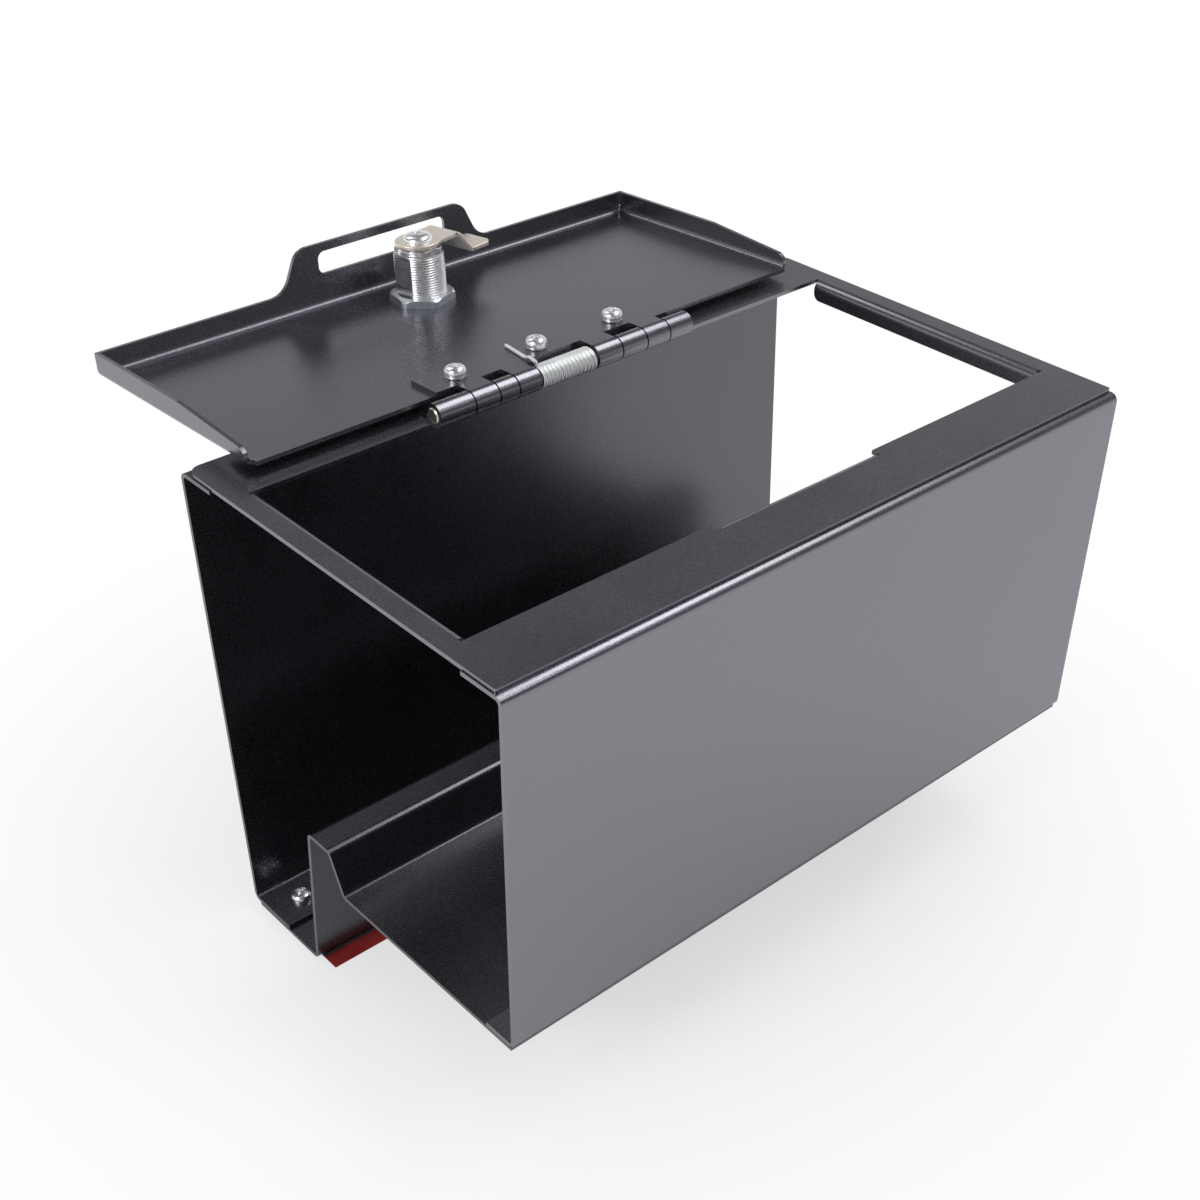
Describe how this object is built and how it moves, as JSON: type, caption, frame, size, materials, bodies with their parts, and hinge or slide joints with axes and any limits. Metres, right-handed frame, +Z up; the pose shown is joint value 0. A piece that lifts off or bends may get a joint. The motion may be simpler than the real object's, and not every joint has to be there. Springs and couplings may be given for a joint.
{
  "type": "console safe",
  "caption": "Stepped sheet-steel console insert, open at both ends, with a sprung flush lid, slotted tab and cam lock.",
  "frame": {"origin": "middle of the adhesive strip's lower face, under the deep well", "axes": "+X along the box, to the right seen from the front panel; +Y towards the hinge wall; +Z up"},
  "size_m": [0.28, 0.2507, 0.2142],
  "materials": {
    "powder_black": "semi-matte fine-textured powder coat",
    "pin_steel": "plain turned steel",
    "spring_zinc": "bright zinc",
    "screw_zinc": "bright zinc",
    "clinch_zinc": "zinc",
    "nut_zinc": "bright zinc",
    "barrel_zinc": "satin plate on die casting",
    "plug_zinc": "satin plate",
    "cam_nickel": "warm nickel plate",
    "wafer_brass": "stamped",
    "foam": "acrylic foam tape",
    "liner_red": "red release film"
  },
  "bodies": {
    "box": {"top_plate": "powder_black", "front_shell": "powder_black", "floor_bracket": "powder_black", "back_wall": "powder_black", "hinge_fixed_leaf": "powder_black", "hinge_pin": "pin_steel", "hinge_spring": "spring_zinc", "tape_foam": "foam", "tape_liner": "liner_red", "floor_screw_1": "screw_zinc", "floor_screw_2": "screw_zinc", "floor_screw_3": "screw_zinc", "floor_nut_1": "clinch_zinc", "floor_nut_2": "clinch_zinc", "floor_nut_3": "clinch_zinc"},
    "lid": {"lid_pan": "powder_black", "hinge_lid_leaf": "powder_black", "spring_lid_leg": "spring_zinc", "lock_body": "barrel_zinc", "lock_nut": "nut_zinc", "lid_screw_1": "screw_zinc", "lid_washer_1": "screw_zinc", "lid_nut_1": "clinch_zinc", "lid_screw_2": "screw_zinc", "lid_washer_2": "screw_zinc", "lid_nut_2": "clinch_zinc", "lid_screw_3": "screw_zinc", "lid_washer_3": "screw_zinc", "lid_nut_3": "clinch_zinc"},
    "plug": {"lock_plug": "plug_zinc", "stop_washer": "barrel_zinc", "cam_spacer": "barrel_zinc", "cam": "cam_nickel", "cam_bolt": "screw_zinc", "lock_wafer_1": "wafer_brass", "lock_wafer_2": "wafer_brass", "lock_wafer_3": "wafer_brass", "lock_wafer_4": "wafer_brass", "lock_wafer_5": "wafer_brass"}
  },
  "joints": [
    {"name": "lid_hinge", "type": "hinge", "parent": "box", "child": "lid", "pos_m": [0, 0.0163, 0.1895], "axis": [1, 0, 0], "range_deg": [0, 182.8], "stiffness_Nm_per_rad": 0.08, "springref_deg": -28.65},
    {"name": "cam_turn", "type": "hinge", "parent": "lid", "child": "plug", "pos_m": [0.001, 0.10125, 0.18835], "axis": [0, 0.0488, 0.9988], "range_deg": [-10, 80]}
  ]
}
